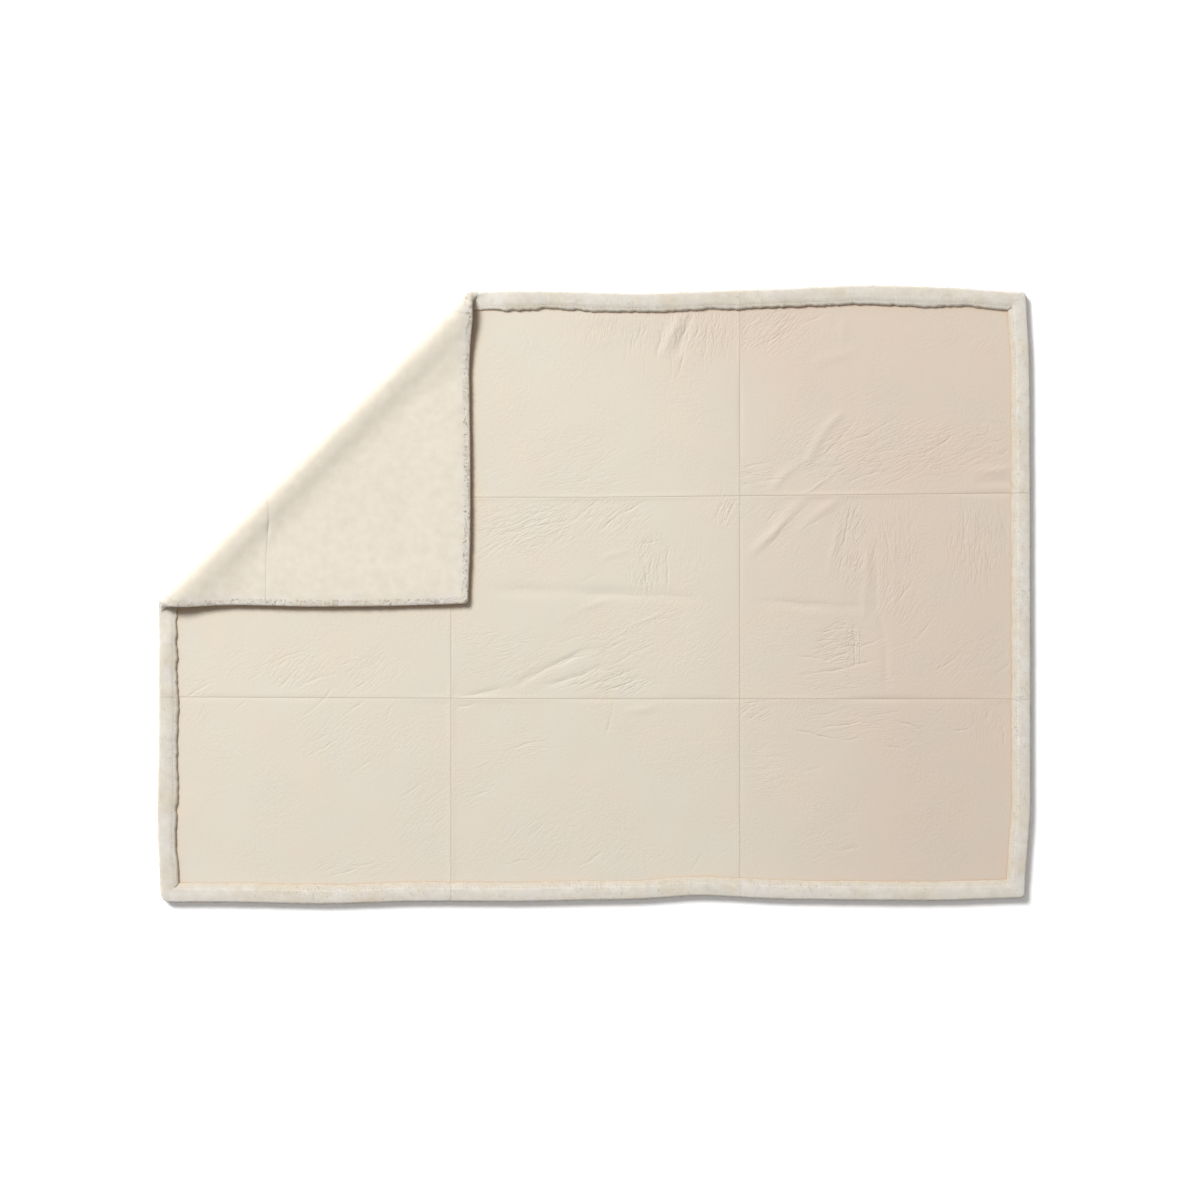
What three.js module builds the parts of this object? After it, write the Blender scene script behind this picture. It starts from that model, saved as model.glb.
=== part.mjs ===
// A sheepskin throw of nine wool-on panels, sewn edge to edge in three columns and three rows.
// It lies skin side up with its wool underneath. Its outer edge is turned over onto the skin, wool out,
// and its top left corner is folded over along a soft diagonal roll, so that the wool shows there.
// Millimetres, +Z up, X along the long side, the origin under the middle of the throw.

import * as THREE from 'three';

// Driving dimensions
const LENGTH = 1782;
const WIDTH = 1265;
const SKIN = 1.2;
const PILE = 11;
const CLOTH = SKIN + PILE;
const SEAM_GAP = 0.6;

// The turned edge: how much of it shows, the slit under it, the dip along its stitch line, its raw lip, how
// far in the flat cloth starts, and how much of the cloth beside it moves with it
const HEM_WIDTH = 39;
const HEM_SLIT = 0.6;
const HEM_RISE = 2 * CLOTH + HEM_SLIT;
const STITCH_INSET = 30;
const STITCH_RISE = 17.6;
const STITCH_DIP = 6;
const LIP_RISE = 18.8;
const LIP_ROUND = 2.5;
const EDGE_REACH = 51;
const EDGE_HOLD = 6;

// The corner that is folded over, measured square to its 45 degree roll
const FOLD_REACH = 616.5;
const LOOP_RADIUS = 10.5;
const END_LOOP_RADIUS = 14;
const LOOP_MIDDLE = -193;
const LOOP_HALF_LENGTH = 447;
const END_LOOP_LENGTH = 110;
const LOOP_EASE = 140;
const FLAP_SLOPE = THREE.MathUtils.degToRad(28.5);
const CREST_SHARE = 0.36;
const FLAP_GAP = 1;

// The flap is held up where it lies over its own turned edge, from one share of the roll to another of the
// ease, and the turned edge is pressed down under it and inside the roll
const HEM_LIFT = 9;
const LIFT_START = 0.8;
const LIFT_STOP = 0.6;
const LIFT_END = 135;
const PRESSED_HEM = 0.74;
const PRESS_START = -60;
const PRESS_END = -5;

// The seams: where each one runs, and how far a row seam climbs towards the left or right edge
const columnSeams = [-290.2, 300.5];
const rowSeams = [
  { y: 198.5, leftRise: 0, rightRise: 9 },
  { y: -213.6, leftRise: 4, rightRise: 0 },
];
const rowNames = ['top', 'middle', 'bottom'];
const columnNames = ['left', 'middle', 'right'];

// How far each edge lies inside the full rectangle, at stations along it
const longEdges = [
  { along: -891, top: 22, bottom: 9 },
  { along: -756, top: 17, bottom: 7 },
  { along: -540, top: 17, bottom: 0 },
  { along: -370, top: 17, bottom: 6 },
  { along: -150, top: 12, bottom: 5 },
  { along: -20, top: 14, bottom: 8 },
  { along: 110, top: 18, bottom: 10 },
  { along: 210, top: 13, bottom: 19 },
  { along: 370, top: 8, bottom: 10 },
  { along: 550, top: 0, bottom: 8 },
  { along: 720, top: 4, bottom: 8 },
  { along: 891, top: 16, bottom: 17 },
];
const shortEdges = [
  { along: -632, left: 8, right: 14 },
  { along: -460, left: 0, right: 0 },
  { along: -320, left: 4, right: 0 },
  { along: -90, left: 4, right: 0 },
  { along: 300, left: 0, right: 1 },
  { along: 497.5, left: 2, right: 3 },
  { along: 632, left: 7, right: 12 },
];
const EDGE_EASE = 420;
const SEAM_EASE = 200;
const CORNER_RADIUS = 8;

// The spacing of the cuts that let the flat throw bend, of the lines across it and of the points round the
// turned edge
const ROLL_STEP = 7;
const ROLL_STEPS = 7;
const SLOPE_STEP = 24;
const SLOPE_STEPS = 4;
const CUT_TOLERANCE = 0.02;
const LIFT_LINES = [90, LIFT_END];
const LINE_CLEARANCE = 1;
const TURN_STEPS = 6;
const SHOULDER_STEPS = 3;

const SKIN_COLOUR = 0xe3d9ca;
const SKIN_ROUGHNESS = 0.85;

const smooth = (value, from, to) => THREE.MathUtils.smoothstep(value, from, to);

// The turned edge as pairs of points, one on the wool and one on the skin, from the flat cloth to the
// raw lip. x is the way in from the outer edge and y the height.
function edgeSection() {
  const turn = HEM_RISE / 2;
  const slit = CLOTH + HEM_SLIT;
  const pair = (woolX, woolY, skinX, skinY) => ({
    wool: new THREE.Vector2(woolX, woolY),
    skin: new THREE.Vector2(skinX, skinY),
  });
  const section = [pair(EDGE_REACH, 0, EDGE_REACH, CLOTH)];
  for (let step = 0; step <= TURN_STEPS; step += 1) {
    const angle = Math.PI * (step / TURN_STEPS);
    const woolX = turn * (1 - Math.sin(angle));
    const woolY = turn * (1 - Math.cos(angle));
    section.push(pair(woolX, woolY, turn, step < TURN_STEPS / 2 ? CLOTH : slit));
  }
  const shoulder = new THREE.QuadraticBezierCurve(
    new THREE.Vector2(turn, HEM_RISE),
    new THREE.Vector2(STITCH_INSET - STITCH_DIP, HEM_RISE),
    new THREE.Vector2(STITCH_INSET, STITCH_RISE),
  );
  const lip = new THREE.Vector2(STITCH_INSET + STITCH_DIP, LIP_RISE);
  for (const { x, y } of [...shoulder.getPoints(SHOULDER_STEPS).slice(1), lip]) {
    section.push(pair(x, y, turn, slit));
  }
  section.push(pair(HEM_WIDTH, LIP_RISE - LIP_ROUND, HEM_WIDTH, slit));
  return section;
}

// A closed skin of triangles, in which two corners at the same place are one
class Shell {
  points = [];
  triangles = [];
  places = new Map();

  corner([x, y, z]) {
    const key = `${x.toFixed(4)} ${y.toFixed(4)} ${z.toFixed(4)}`;
    if (!this.places.has(key)) {
      this.places.set(key, this.points.length);
      this.points.push(new THREE.Vector3(x, y, z));
    }
    return this.places.get(key);
  }

  // A four-sided face, whose diagonal stays the same when it is turned over
  face(corners, over) {
    const [a, b, c, d] = corners.map((place) => this.corner(place));
    for (const [first, second, third] of over ? [[a, d, c], [a, c, b]] : [[a, b, c], [a, c, d]]) {
      if (first !== second && second !== third && third !== first) {
        this.triangles.push([first, second, third]);
      }
    }
  }
}

// The four sides of a panel, and where a point lies that is a way along one of them and inward from
// the throw's outer edge
const sides = [
  { name: 'top', over: true, place: (along, inward, z) => [along, WIDTH / 2 - inward, z] },
  { name: 'bottom', over: false, place: (along, inward, z) => [along, inward - WIDTH / 2, z] },
  { name: 'left', over: true, place: (along, inward, z) => [inward - LENGTH / 2, along, z] },
  { name: 'right', over: false, place: (along, inward, z) => [LENGTH / 2 - inward, along, z] },
];

// The turned edge along one side: lines are its stations, and ends say which of its two ends meets a
// corner of the throw
function addTurnedEdge(shell, section, { place, over }, lines, ends, reach) {
  const stations = lines.map((line) => () => line);
  if (ends[0]) {
    stations.unshift((inward) => Math.max(inward, CORNER_RADIUS) - reach);
    stations.unshift((inward) => inward - reach);
  }
  if (ends[1]) {
    stations.push((inward) => reach - Math.max(inward, CORNER_RADIUS));
    stations.push((inward) => reach - inward);
  }
  const at = (station, point) => place(stations[station](point.x), point.x, point.y);
  for (let k = 0; k + 1 < stations.length; k += 1) {
    const span = (from, to) => [at(k, from), at(k + 1, from), at(k + 1, to), at(k, to)];
    for (let i = 0; i + 1 < section.length; i += 1) {
      shell.face(span(section[i].wool, section[i + 1].wool), over);
      shell.face(span(section[i].skin, section[i + 1].skin), !over);
    }
    const raw = section.at(-1);
    shell.face(span(raw.wool, raw.skin), over);
  }
  for (const [end, station] of [[0, 0], [1, stations.length - 1]]) {
    for (let i = 0; !ends[end] && i + 1 < section.length; i += 1) {
      const { wool, skin } = section[i];
      const { wool: nextWool, skin: nextSkin } = section[i + 1];
      const cap = [wool, skin, nextSkin, nextWool].map((point) => at(station, point));
      shell.face(cap, (end === 0) !== over);
    }
  }
}

// One panel before the corner is folded: flat cloth between its lines, and a turned edge on each outer side
function flatPanel(row, column) {
  const shell = new Shell();
  const section = edgeSection();
  const outer = { top: row === 0, bottom: row === 2, left: column === 0, right: column === 2 };
  const xs = xLines(column);
  const ys = yLines(row);
  for (let i = 0; i + 1 < xs.length; i += 1) {
    for (let j = 0; j + 1 < ys.length; j += 1) {
      for (const z of [0, CLOTH]) {
        const [left, right, low, high] = [xs[i], xs[i + 1], ys[j], ys[j + 1]];
        shell.face([[left, low, z], [right, low, z], [right, high, z], [left, high, z]], z === 0);
      }
    }
  }
  for (const side of sides) {
    const level = side.name === 'top' || side.name === 'bottom';
    const lines = level ? xs : ys;
    if (outer[side.name]) {
      const ends = level ? [outer.left, outer.right] : [outer.bottom, outer.top];
      addTurnedEdge(shell, section, side, lines, ends, (level ? LENGTH : WIDTH) / 2);
      continue;
    }
    const seam = { top: ys.at(-1), bottom: ys[0], left: xs[0], right: xs.at(-1) }[side.name];
    const at = (along, z) => (level ? [along, seam, z] : [seam, along, z]);
    for (let k = 0; k + 1 < lines.length; k += 1) {
      const wall = [at(lines[k], 0), at(lines[k + 1], 0), at(lines[k + 1], CLOTH), at(lines[k], CLOTH)];
      shell.face(wall, side.name === 'top' || side.name === 'left');
    }
  }
  return shell;
}

// The lines that cross a column or a row of panels, the same in all of them so that they match along seams
function linesBetween(low, high, stations) {
  const clear = (station) => station > low + LINE_CLEARANCE && station < high - LINE_CLEARANCE;
  const inside = stations.filter(clear).sort((a, b) => a - b);
  return [low, ...new Set(inside), high];
}

function xLines(column) {
  const edge = LENGTH / 2 - EDGE_REACH;
  const ends = [-edge, ...columnSeams, edge];
  const stations = longEdges.map((station) => station.along);
  const lifts = LIFT_LINES.map((inward) => inward - LENGTH / 2);
  return linesBetween(ends[column], ends[column + 1], [...stations, ...lifts]);
}

function yLines(row) {
  const edge = WIDTH / 2 - EDGE_REACH;
  const ends = [edge, ...rowSeams.map((seam) => seam.y), -edge];
  const stations = shortEdges.map((station) => station.along);
  const lifts = LIFT_LINES.map((inward) => WIDTH / 2 - inward);
  return linesBetween(ends[row + 1], ends[row], [...stations, ...lifts]);
}

// An order of places that the two sides of a seam share, so that both are cut into the same triangles
function comesFirst(a, b) {
  return (a.z - b.z || a.y - b.y || a.x - b.x) < 0;
}

// Splits every triangle that an upright plane parallel to the fold passes through, without opening the shell
function cutAcross({ points, triangles }, outward) {
  const heights = points.map((point) => {
    const height = (point.y - point.x) / Math.SQRT2 - outward;
    return Math.abs(height) < CUT_TOLERANCE ? 0 : height;
  });
  const made = new Map();
  const crossing = (a, b) => {
    const [low, high] = a < b ? [a, b] : [b, a];
    const key = `${low} ${high}`;
    if (!made.has(key)) {
      const share = heights[low] / (heights[low] - heights[high]);
      points.push(points[low].clone().lerp(points[high], share));
      made.set(key, points.length - 1);
    }
    return made.get(key);
  };
  const result = [];
  for (const triangle of triangles) {
    const signs = triangle.map((corner) => Math.sign(heights[corner]));
    if (!signs.includes(1) || !signs.includes(-1)) {
      result.push(triangle);
      continue;
    }
    // The corner that stands alone on its side comes first, or the one that lies on the plane
    const alone = signs.includes(0)
      ? signs.indexOf(0)
      : signs.findIndex((sign) => signs.filter((other) => other === sign).length === 1);
    const [a, b, c] = [0, 1, 2].map((step) => triangle[(alone + step) % 3]);
    if (signs.includes(0)) {
      const middle = crossing(b, c);
      result.push([a, b, middle], [a, middle, c]);
      continue;
    }
    const first = crossing(a, b);
    const last = crossing(a, c);
    result.push([a, first, last]);
    if (comesFirst(points[b], points[c])) {
      result.push([first, b, last], [b, c, last]);
    } else {
      result.push([first, b, c], [first, c, last]);
    }
  }
  return { points, triangles: result };
}

// The inset of an edge between two stations of its table
function insetAt(table, edge, along) {
  const next = table.find((row) => row.along >= along) ?? table.at(-1);
  const after = Math.max(1, table.indexOf(next));
  const [from, to] = [table[after - 1], table[after]];
  const share = THREE.MathUtils.clamp((along - from.along) / (to.along - from.along), 0, 1);
  return THREE.MathUtils.lerp(from[edge], to[edge], share);
}

// The outline as uneven as the real one: corners rounded, edges drawn in, row seams not quite level
function uneven(x, y) {
  const fromSide = LENGTH / 2 - Math.abs(x);
  const fromEnd = WIDTH / 2 - Math.abs(y);
  let [outX, outY] = [x, y];
  if (fromSide < CORNER_RADIUS && fromEnd < CORNER_RADIUS) {
    const [right, up] = [CORNER_RADIUS - fromSide, CORNER_RADIUS - fromEnd];
    const pull = Math.max(right, up) / Math.hypot(right, up);
    outX = Math.sign(x) * (LENGTH / 2 - CORNER_RADIUS + right * pull);
    outY = Math.sign(y) * (WIDTH / 2 - CORNER_RADIUS + up * pull);
  }
  const hold = (distance) => 1 - smooth(distance, HEM_WIDTH + EDGE_HOLD, EDGE_EASE);
  outX += insetAt(shortEdges, 'left', y) * hold(x + LENGTH / 2);
  outX -= insetAt(shortEdges, 'right', y) * hold(LENGTH / 2 - x);
  outY += insetAt(longEdges, 'bottom', x) * hold(y + WIDTH / 2);
  outY -= insetAt(longEdges, 'top', x) * hold(WIDTH / 2 - y);
  for (const seam of rowSeams) {
    const rise = (Math.abs(x) / (LENGTH / 2)) * (x < 0 ? seam.leftRise : seam.rightRise);
    outY += rise * Math.max(0, 1 - Math.abs(y - seam.y) / SEAM_EASE);
  }
  return [outX, outY];
}

// The loop is wider at its two ends, where the turned edge runs through it
function loopRadius(alongFold) {
  const fromEnd = LOOP_HALF_LENGTH - Math.abs(alongFold - LOOP_MIDDLE);
  const narrow = smooth(fromEnd, END_LOOP_LENGTH, END_LOOP_LENGTH + LOOP_EASE);
  return THREE.MathUtils.lerp(END_LOOP_RADIUS, LOOP_RADIUS, narrow);
}

// The skin's path through the fold: how far out, how high and which way it heads, a way along it from
// where it leaves the surface
function rollPath(way, radius) {
  const roll = Math.PI * radius;
  const curve = (2 * radius - FLAP_GAP) / (1 - Math.cos(FLAP_SLOPE));
  const [crestRadius, easeRadius] = [CREST_SHARE * curve, (1 - CREST_SHARE) * curve];
  const [crest, ease] = [crestRadius * FLAP_SLOPE, easeRadius * FLAP_SLOPE];
  let [out, rise, heading] = [0, CLOTH, 0];
  const bend = (length, bendRadius, side) => {
    const next = heading + (side * length) / bendRadius;
    out += side * bendRadius * (Math.sin(next) - Math.sin(heading));
    rise += side * bendRadius * (Math.cos(heading) - Math.cos(next));
    heading = next;
  };
  const run = (length) => {
    out += length * Math.cos(heading);
    rise += length * Math.sin(heading);
  };
  bend(THREE.MathUtils.clamp(way, 0, roll), radius, 1);
  bend(THREE.MathUtils.clamp(way - roll, 0, crest), crestRadius, 1);
  bend(THREE.MathUtils.clamp(way - roll - crest, 0, ease), easeRadius, -1);
  run(Math.max(0, way - roll - crest - ease));
  run(Math.min(0, way));
  return { out, rise, heading, liftFrom: roll * LIFT_START, liftTo: roll + crest + ease * LIFT_STOP };
}

// Where a point of the flat throw lies once its outline is uneven and its corner is folded over
function lay(x, y, z) {
  const [flatX, flatY] = uneven(x, y);
  const outward = (flatY - flatX) / Math.SQRT2;
  const alongFold = (flatX + flatY) / Math.SQRT2;
  const radius = loopRadius(alongFold);
  const start = FOLD_REACH - radius - CLOTH;
  const way = outward - start;
  const { out, rise, heading, liftFrom, liftTo } = rollPath(way, radius);
  const pressed = THREE.MathUtils.lerp(1, PRESSED_HEM, smooth(way, PRESS_START, PRESS_END));
  const above = z > CLOTH ? (z - CLOTH) * pressed : z - CLOTH;
  const fromEdge = Math.min(x + LENGTH / 2, WIDTH / 2 - y);
  const overHem = 1 - smooth(fromEdge, HEM_WIDTH + EDGE_HOLD, LIFT_END);
  const lift = HEM_LIFT * overHem * smooth(way, liftFrom, liftTo);
  const laidOut = start + out - above * Math.sin(heading);
  const height = rise + above * Math.cos(heading) + lift;
  return [(alongFold - laidOut) / Math.SQRT2, (alongFold + laidOut) / Math.SQRT2, height];
}

// How far out the cuts lie that let the corner roll over
function foldCuts() {
  const start = FOLD_REACH - END_LOOP_RADIUS - CLOTH;
  const cuts = [];
  for (let step = 0; step <= ROLL_STEPS; step += 1) {
    cuts.push(start + step * ROLL_STEP);
  }
  for (let step = 1; step <= SLOPE_STEPS; step += 1) {
    cuts.push(start + ROLL_STEPS * ROLL_STEP + step * SLOPE_STEP);
  }
  return cuts;
}

function shearlingMaterial(name) {
  return new THREE.MeshStandardMaterial({
    name,
    color: SKIN_COLOUR,
    roughness: SKIN_ROUGHNESS,
    metalness: 0,
  });
}

// One panel, drawn in from its seams by half their gap and laid in place
function makePanel(row, column) {
  const centre = row === 1 && column === 1;
  const name = centre ? 'panel_centre' : `panel_${rowNames[row]}_${columnNames[column]}`;
  let shell = flatPanel(row, column);
  if (row + column < 2) {
    for (const outward of foldCuts()) {
      shell = cutAcross(shell, outward);
    }
  }
  const clear = SEAM_GAP / 2;
  const [left, right] = [columnSeams[column - 1] ?? -Infinity, columnSeams[column] ?? Infinity];
  const [top, bottom] = [rowSeams[row - 1]?.y ?? Infinity, rowSeams[row]?.y ?? -Infinity];
  const places = shell.points.flatMap(({ x, y, z }) => {
    const drawnX = THREE.MathUtils.clamp(x, left + clear, right - clear);
    const drawnY = THREE.MathUtils.clamp(y, bottom + clear, top - clear);
    return lay(drawnX, drawnY, z);
  });
  const geometry = new THREE.BufferGeometry();
  geometry.setAttribute('position', new THREE.Float32BufferAttribute(places, 3));
  geometry.setIndex(shell.triangles.flat());
  geometry.computeVertexNormals();
  const panel = new THREE.Mesh(geometry, shearlingMaterial(`${name}_shearling`));
  panel.name = name;
  return panel;
}

function makeThrow() {
  const group = new THREE.Group();
  for (let row = 0; row < rowNames.length; row += 1) {
    for (let column = 0; column < columnNames.length; column += 1) {
      group.add(makePanel(row, column));
    }
  }
  return group;
}

export default makeThrow();
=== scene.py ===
import math

import bmesh
import bpy
import numpy as np
from mathutils import Matrix, noise


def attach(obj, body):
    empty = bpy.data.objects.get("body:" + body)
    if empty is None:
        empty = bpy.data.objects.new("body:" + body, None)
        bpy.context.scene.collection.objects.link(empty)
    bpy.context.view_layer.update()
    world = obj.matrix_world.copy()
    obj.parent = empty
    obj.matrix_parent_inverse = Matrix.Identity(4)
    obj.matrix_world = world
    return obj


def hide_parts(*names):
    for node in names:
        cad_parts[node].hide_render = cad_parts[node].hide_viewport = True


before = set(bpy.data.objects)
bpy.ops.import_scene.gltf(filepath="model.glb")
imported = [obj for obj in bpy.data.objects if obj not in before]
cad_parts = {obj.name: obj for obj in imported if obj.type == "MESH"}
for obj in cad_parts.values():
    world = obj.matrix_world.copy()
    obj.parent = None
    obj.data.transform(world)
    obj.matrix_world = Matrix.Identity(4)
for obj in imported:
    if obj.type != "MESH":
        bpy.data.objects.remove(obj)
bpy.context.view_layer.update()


# The cut: nine wool-on sheepskins are cut to rectangles and sewn edge to edge, three across and three down.
# Each one is a sheet of skin with its sheared pile under it. All sizes of the throw are in millimetres.
throw_length = 1782
throw_width = 1265
skin = 1.2
pile = 11
cloth = skin + pile
seam_gap = 0.1
column_seams = [-290.2, 300.5]
row_seams = [198.5, -213.6]
row_names = ["top", "middle", "bottom"]
column_names = ["left", "middle", "right"]


# The turned edge: the outer edge of the sewn throw is turned over onto the skin, so that the wool rolls
# round it and lies on top, and is stitched down 9 mm from its raw edge, which leaves a small lip.
edge_width = 39
edge_slit = 0.6
edge_rise = 2 * cloth + edge_slit
edge_reach = 51
stitch_inset = 30
top_steps = 10
turn_steps = 12
under_steps = 8
edge_steps = top_steps + turn_steps + under_steps
squareness = 0.44

# The top of the wool, from the raw lip over the dip along the stitches to where the turn starts
wool_crown = np.array([
    # inward, height
    (39, 14), (38.7, 16.4), (37.8, 18.8), (35.5, 21), (31.2, 21.9), (29.4, 22.2), (27, 23.5), (24, 24.2),
    (20, 24.7), (16, 25),
])


def squarer(share):
    """A sine or cosine bent so that the turn is a little squarer than a half round."""
    return np.sign(share) * np.abs(share) ** squareness


def turned_edge():
    """The edge's section from the raw edge over the top, round the turn and under: (inward, height) rows."""
    turn = edge_rise / 2
    slit_turn = edge_slit / 2
    top = np.linspace(0, 1, top_steps, endpoint=False)
    angle = np.linspace(0, math.pi, turn_steps + 1)
    under = np.linspace(0, 1, under_steps + 1)[1:]
    wool = np.concatenate([
        wool_crown,
        np.stack([turn * (1 - squarer(np.sin(angle))), turn * (1 + squarer(np.cos(angle)))], 1),
        np.stack([turn + under * (edge_reach - turn), under * 0], 1),
    ])
    fold_in = turn + slit_turn
    leather = np.concatenate([
        np.stack([edge_width + top * (fold_in - edge_width), top * 0 + cloth + edge_slit], 1),
        np.stack([fold_in - slit_turn * np.sin(angle), cloth + slit_turn * (1 + np.cos(angle))], 1),
        np.stack([fold_in + under * (edge_reach - fold_in), under * 0 + cloth], 1),
    ])
    return leather, wool


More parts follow.
